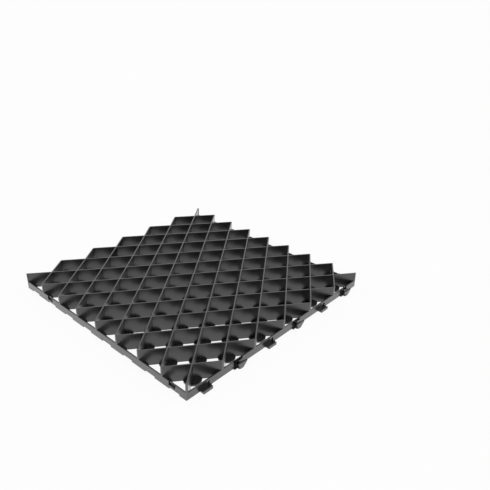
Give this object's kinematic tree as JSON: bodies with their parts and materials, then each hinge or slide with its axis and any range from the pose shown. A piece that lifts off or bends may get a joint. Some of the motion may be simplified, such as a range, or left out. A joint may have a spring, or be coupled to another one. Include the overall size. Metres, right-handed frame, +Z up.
{
  "type": "grass paver grid",
  "caption": "Square open plastic ground tile of crossed upright ribs on round feet, with clips along its edges, laid on soil to carry traffic over grass or gravel",
  "frame": {"origin": "centre of the square of cells, on the ground under the feet", "axes": "+X along the edge with the six clips, +Y towards the edge with the sockets, +Z up"},
  "size_m": [0.503, 0.509, 0.035],
  "materials": {
    "tile_plastic": "dark charcoal moulded polyethylene with a satin skin"
  },
  "bodies": {
    "root": {"paver_grid": "tile_plastic"}
  },
  "joints": []
}
